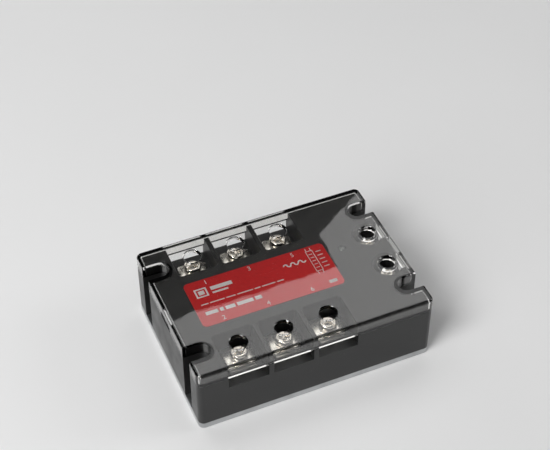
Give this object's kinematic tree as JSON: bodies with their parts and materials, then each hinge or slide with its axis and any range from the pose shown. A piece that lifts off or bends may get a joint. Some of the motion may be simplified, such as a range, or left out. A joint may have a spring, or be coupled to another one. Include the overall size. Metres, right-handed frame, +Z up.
{
  "type": "three-phase solid state relay",
  "caption": "Flat black three-phase solid state relay with a clear cover, two rows of screw terminals and a metal base plate.",
  "frame": {"origin": "centre of the base plate's underside, which is the face that goes on the heat sink", "axes": "+X along the body, from the first power terminals to the control terminals; +Y from the load row to the line row; +Z up, out of the cover"},
  "size_m": [0.105, 0.074, 0.033],
  "materials": {
    "base_metal": "satin",
    "housing_plastic": "gloss",
    "cover_clear": "gloss",
    "label_film": "satin",
    "terminal_tinned": "satin",
    "clamp_steel": "polished",
    "screw_steel": "polished",
    "washer_steel": "satin",
    "nut_steel": "satin",
    "substrate_ceramic": "matte",
    "die_silicon": "gloss",
    "strap_copper": "satin",
    "pin_tinned": "satin",
    "board_laminate": "satin",
    "component_black": "matte",
    "component_beige": "satin",
    "component_yellow": "satin",
    "led_lens": "gloss",
    "potting_compound": "matte"
  },
  "bodies": {
    "relay": {"base_plate": "base_metal", "housing": "housing_plastic", "label": "label_film", "power_nuts": "nut_steel", "control_nuts": "nut_steel", "substrate_1": "substrate_ceramic", "substrate_2": "substrate_ceramic", "substrate_3": "substrate_ceramic", "thyristor_dies": "die_silicon", "die_straps": "strap_copper", "gate_pins": "pin_tinned", "circuit_board": "board_laminate", "optocouplers": "component_black", "gate_resistors": "component_beige", "snubber_capacitors": "component_yellow", "indicator_led": "led_lens", "led_leads": "pin_tinned", "potting": "potting_compound", "line_terminal_1": "terminal_tinned", "line_terminal_2": "terminal_tinned", "line_terminal_3": "terminal_tinned", "load_terminal_1": "terminal_tinned", "load_terminal_2": "terminal_tinned", "load_terminal_3": "terminal_tinned", "control_terminal_plus": "terminal_tinned", "control_terminal_minus": "terminal_tinned"},
    "cover": {"cover": "cover_clear"},
    "line_clamp_1": {"line_clamp_1": "clamp_steel"},
    "line_screw_1": {"line_screw_1": "screw_steel", "line_washer_1": "washer_steel"},
    "line_clamp_2": {"line_clamp_2": "clamp_steel"},
    "line_screw_2": {"line_screw_2": "screw_steel", "line_washer_2": "washer_steel"},
    "line_clamp_3": {"line_clamp_3": "clamp_steel"},
    "line_screw_3": {"line_screw_3": "screw_steel", "line_washer_3": "washer_steel"},
    "load_clamp_1": {"load_clamp_1": "clamp_steel"},
    "load_screw_1": {"load_screw_1": "screw_steel", "load_washer_1": "washer_steel"},
    "load_clamp_2": {"load_clamp_2": "clamp_steel"},
    "load_screw_2": {"load_screw_2": "screw_steel", "load_washer_2": "washer_steel"},
    "load_clamp_3": {"load_clamp_3": "clamp_steel"},
    "load_screw_3": {"load_screw_3": "screw_steel", "load_washer_3": "washer_steel"},
    "control_clamp_plus": {"control_clamp_plus": "clamp_steel"},
    "control_screw_plus": {"control_screw_plus": "screw_steel", "control_washer_plus": "washer_steel"},
    "control_clamp_minus": {"control_clamp_minus": "clamp_steel"},
    "control_screw_minus": {"control_screw_minus": "screw_steel", "control_washer_minus": "washer_steel"}
  },
  "joints": [
    {"name": "cover_lift", "type": "slide", "parent": "relay", "child": "cover", "axis": [0, 0, 1], "range_m": [0, 0.05]},
    {"name": "line_clamp_1_lift", "type": "slide", "parent": "relay", "child": "line_clamp_1", "axis": [0, 0, 1], "range_m": [0, 0.0028]},
    {"name": "line_screw_1_turn", "type": "hinge", "parent": "line_clamp_1", "child": "line_screw_1", "pos_m": [-0.0306, 0.026, 0.0269], "axis": [0, 0, 1], "range_deg": [0, 1441.44]},
    {"name": "line_clamp_2_lift", "type": "slide", "parent": "relay", "child": "line_clamp_2", "axis": [0, 0, 1], "range_m": [0, 0.0028]},
    {"name": "line_screw_2_turn", "type": "hinge", "parent": "line_clamp_2", "child": "line_screw_2", "pos_m": [-0.0108, 0.026, 0.0269], "axis": [0, 0, 1], "range_deg": [0, 1441.44]},
    {"name": "line_clamp_3_lift", "type": "slide", "parent": "relay", "child": "line_clamp_3", "axis": [0, 0, 1], "range_m": [0, 0.0028]},
    {"name": "line_screw_3_turn", "type": "hinge", "parent": "line_clamp_3", "child": "line_screw_3", "pos_m": [0.009, 0.026, 0.0269], "axis": [0, 0, 1], "range_deg": [0, 1441.44]},
    {"name": "load_clamp_1_lift", "type": "slide", "parent": "relay", "child": "load_clamp_1", "axis": [0, 0, 1], "range_m": [0, 0.0028]},
    {"name": "load_screw_1_turn", "type": "hinge", "parent": "load_clamp_1", "child": "load_screw_1", "pos_m": [-0.0306, -0.026, 0.0269], "axis": [0, 0, 1], "range_deg": [0, 1441.44]},
    {"name": "load_clamp_2_lift", "type": "slide", "parent": "relay", "child": "load_clamp_2", "axis": [0, 0, 1], "range_m": [0, 0.0028]},
    {"name": "load_screw_2_turn", "type": "hinge", "parent": "load_clamp_2", "child": "load_screw_2", "pos_m": [-0.0108, -0.026, 0.0269], "axis": [0, 0, 1], "range_deg": [0, 1441.44]},
    {"name": "load_clamp_3_lift", "type": "slide", "parent": "relay", "child": "load_clamp_3", "axis": [0, 0, 1], "range_m": [0, 0.0028]},
    {"name": "load_screw_3_turn", "type": "hinge", "parent": "load_clamp_3", "child": "load_screw_3", "pos_m": [0.009, -0.026, 0.0269], "axis": [0, 0, 1], "range_deg": [0, 1441.44]},
    {"name": "control_clamp_plus_lift", "type": "slide", "parent": "relay", "child": "control_clamp_plus", "axis": [0, 0, 1], "range_m": [0, 0.002]},
    {"name": "control_screw_plus_turn", "type": "hinge", "parent": "control_clamp_plus", "child": "control_screw_plus", "pos_m": [0.0442, 0.0097, 0.0255], "axis": [0, 0, 1], "range_deg": [0, 1441.44]},
    {"name": "control_clamp_minus_lift", "type": "slide", "parent": "relay", "child": "control_clamp_minus", "axis": [0, 0, 1], "range_m": [0, 0.002]},
    {"name": "control_screw_minus_turn", "type": "hinge", "parent": "control_clamp_minus", "child": "control_screw_minus", "pos_m": [0.0442, -0.0097, 0.0255], "axis": [0, 0, 1], "range_deg": [0, 1441.44]}
  ],
  "couplings": [
    {"joint": "line_screw_1_turn", "follows": "line_clamp_1_lift", "rad_per_m": 8976},
    {"joint": "line_screw_2_turn", "follows": "line_clamp_2_lift", "rad_per_m": 8976},
    {"joint": "line_screw_3_turn", "follows": "line_clamp_3_lift", "rad_per_m": 8976},
    {"joint": "load_screw_1_turn", "follows": "load_clamp_1_lift", "rad_per_m": 8976},
    {"joint": "load_screw_2_turn", "follows": "load_clamp_2_lift", "rad_per_m": 8976},
    {"joint": "load_screw_3_turn", "follows": "load_clamp_3_lift", "rad_per_m": 8976},
    {"joint": "control_screw_plus_turn", "follows": "control_clamp_plus_lift", "rad_per_m": 12566},
    {"joint": "control_screw_minus_turn", "follows": "control_clamp_minus_lift", "rad_per_m": 12566}
  ]
}
